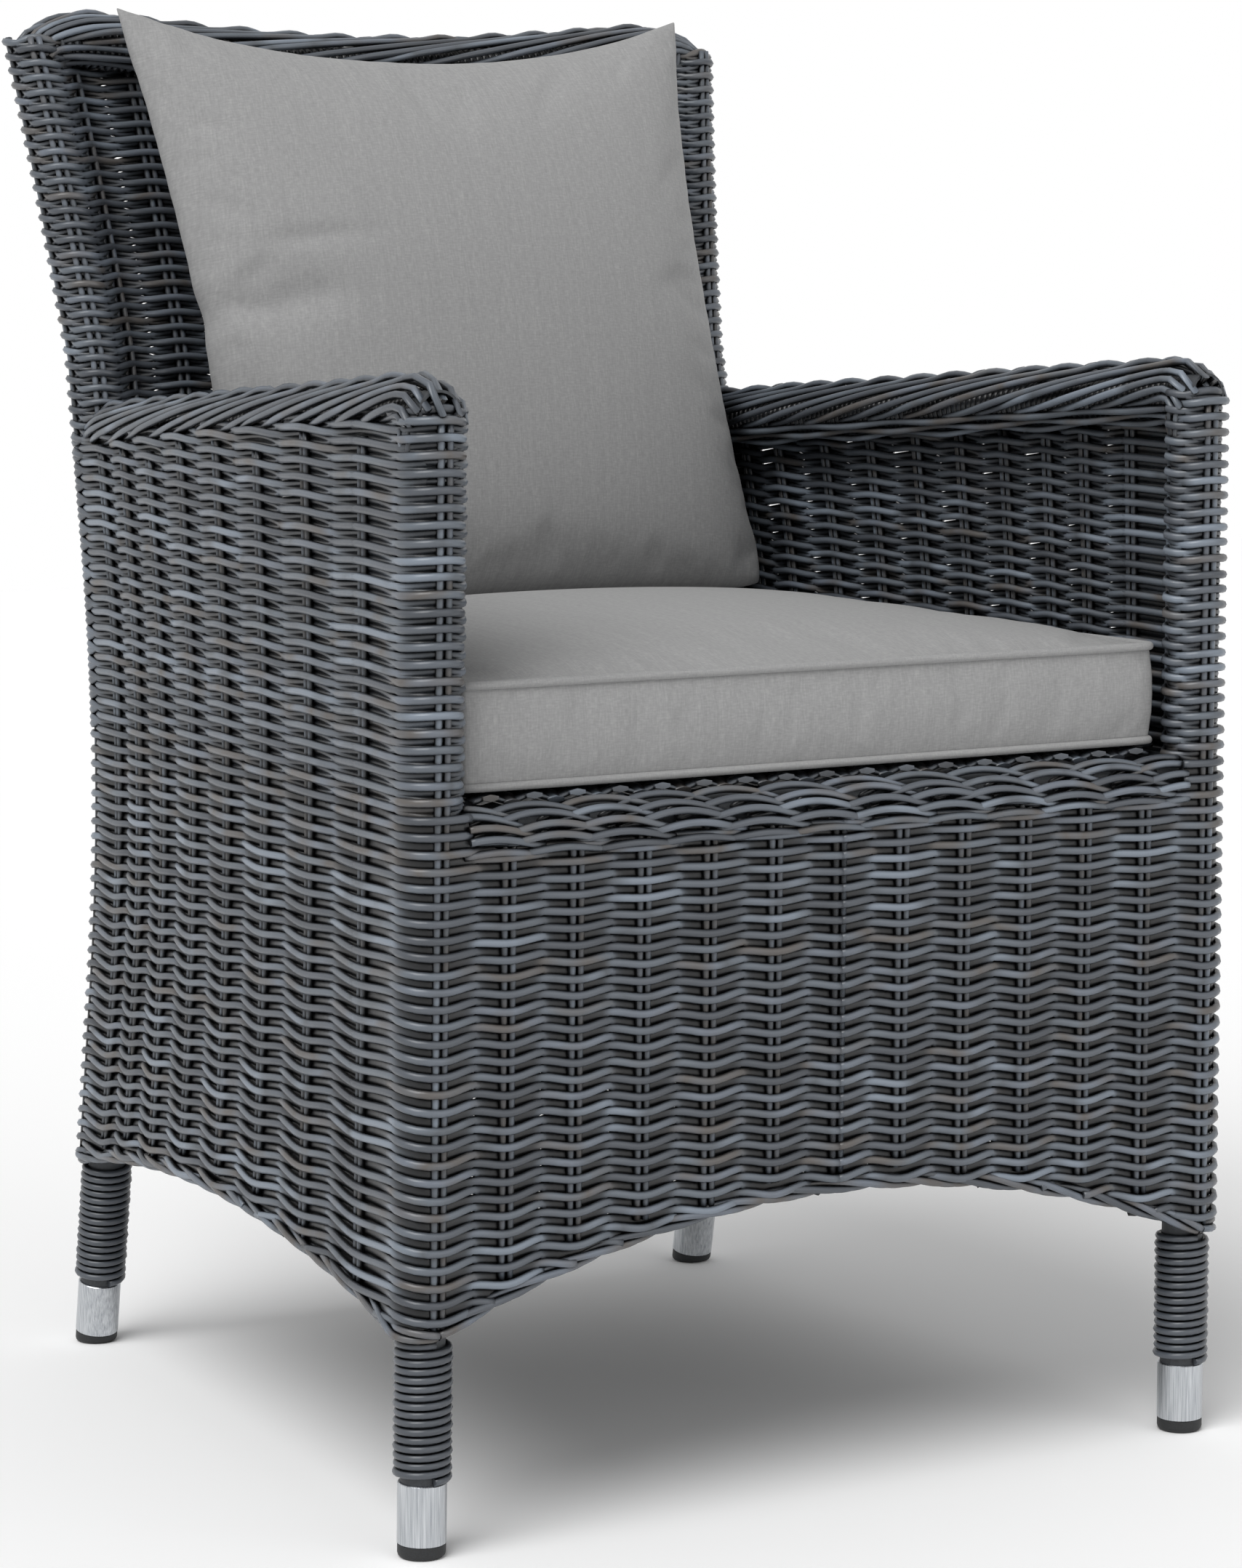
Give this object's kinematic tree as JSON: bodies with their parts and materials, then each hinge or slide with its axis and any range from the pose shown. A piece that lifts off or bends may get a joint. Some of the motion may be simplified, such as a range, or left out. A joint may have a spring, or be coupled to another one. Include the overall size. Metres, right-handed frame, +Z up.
{
  "type": "woven dining armchair",
  "caption": "Woven patio dining armchair: bent-tube frame under round wicker, closed arched skirt, wrapped ankles with metal ends, loose boxed seat cushion and back pillow.",
  "frame": {"origin": "on the floor, under the middle of the chair's box", "axes": "+X to the right as seen from the front; +Y to the back; +Z up"},
  "size_m": [0.5756, 0.6308, 0.8918],
  "materials": {
    "frame_tube": "powder-coated aluminium tube, satin",
    "foot_cap": "black moulded plastic",
    "ferrule": "bright brushed sleeve",
    "wicker": "extruded round strand, satin, charcoal grey with paler streaks",
    "wicker_border": "plaited round strand, satin, charcoal grey",
    "cushion_cloth": "plain heathered mid-grey weave"
  },
  "bodies": {
    "chair": {"back_top_rail": "frame_tube", "seat_front_rail": "frame_tube", "seat_rear_rail": "frame_tube", "seat_cross_bar_1": "frame_tube", "seat_cross_bar_2": "frame_tube", "front_hem_rod": "frame_tube", "rear_hem_rod": "frame_tube", "front_leg_left": "frame_tube", "front_leg_right": "frame_tube", "rear_leg_left": "frame_tube", "rear_leg_right": "frame_tube", "arm_rail_left": "frame_tube", "arm_rail_right": "frame_tube", "seat_rail_left": "frame_tube", "seat_rail_right": "frame_tube", "hem_rod_left": "frame_tube", "hem_rod_right": "frame_tube", "foot_cap_front_left": "foot_cap", "foot_cap_front_right": "foot_cap", "foot_cap_rear_left": "foot_cap", "foot_cap_rear_right": "foot_cap", "leg_ferrule_front_left": "ferrule", "leg_ferrule_front_right": "ferrule", "leg_ferrule_rear_left": "ferrule", "leg_ferrule_rear_right": "ferrule", "leg_wrap_front_left": "wicker", "leg_wrap_front_right": "wicker", "leg_wrap_rear_left": "wicker", "leg_wrap_rear_right": "wicker", "back_top_border": "wicker_border", "seat_front_border": "wicker_border", "front_hem_border": "wicker_border", "rear_hem_border": "wicker_border", "arm_border_left": "wicker_border", "arm_border_right": "wicker_border", "hem_border_left": "wicker_border", "hem_border_right": "wicker_border", "front_post_cover_left": "wicker", "front_post_cover_right": "wicker", "rear_post_cover_left": "wicker", "rear_post_cover_right": "wicker", "woven_panel_left": "wicker", "woven_panel_right": "wicker", "front_woven_panel": "wicker", "back_woven_panel": "wicker", "seat_woven_deck": "wicker"},
    "seat_cushion": {"seat_cushion": "cushion_cloth"},
    "back_cushion": {"back_cushion": "cushion_cloth"}
  },
  "joints": [
    {"name": "seat_cushion_lift", "type": "slide", "parent": "chair", "child": "seat_cushion", "axis": [0, -0.1392, 0.9903], "range_m": [0, 0.42]},
    {"name": "back_cushion_lift", "type": "slide", "parent": "seat_cushion", "child": "back_cushion", "axis": [0, -0.1392, 0.9903], "range_m": [0, 0.42]}
  ]
}
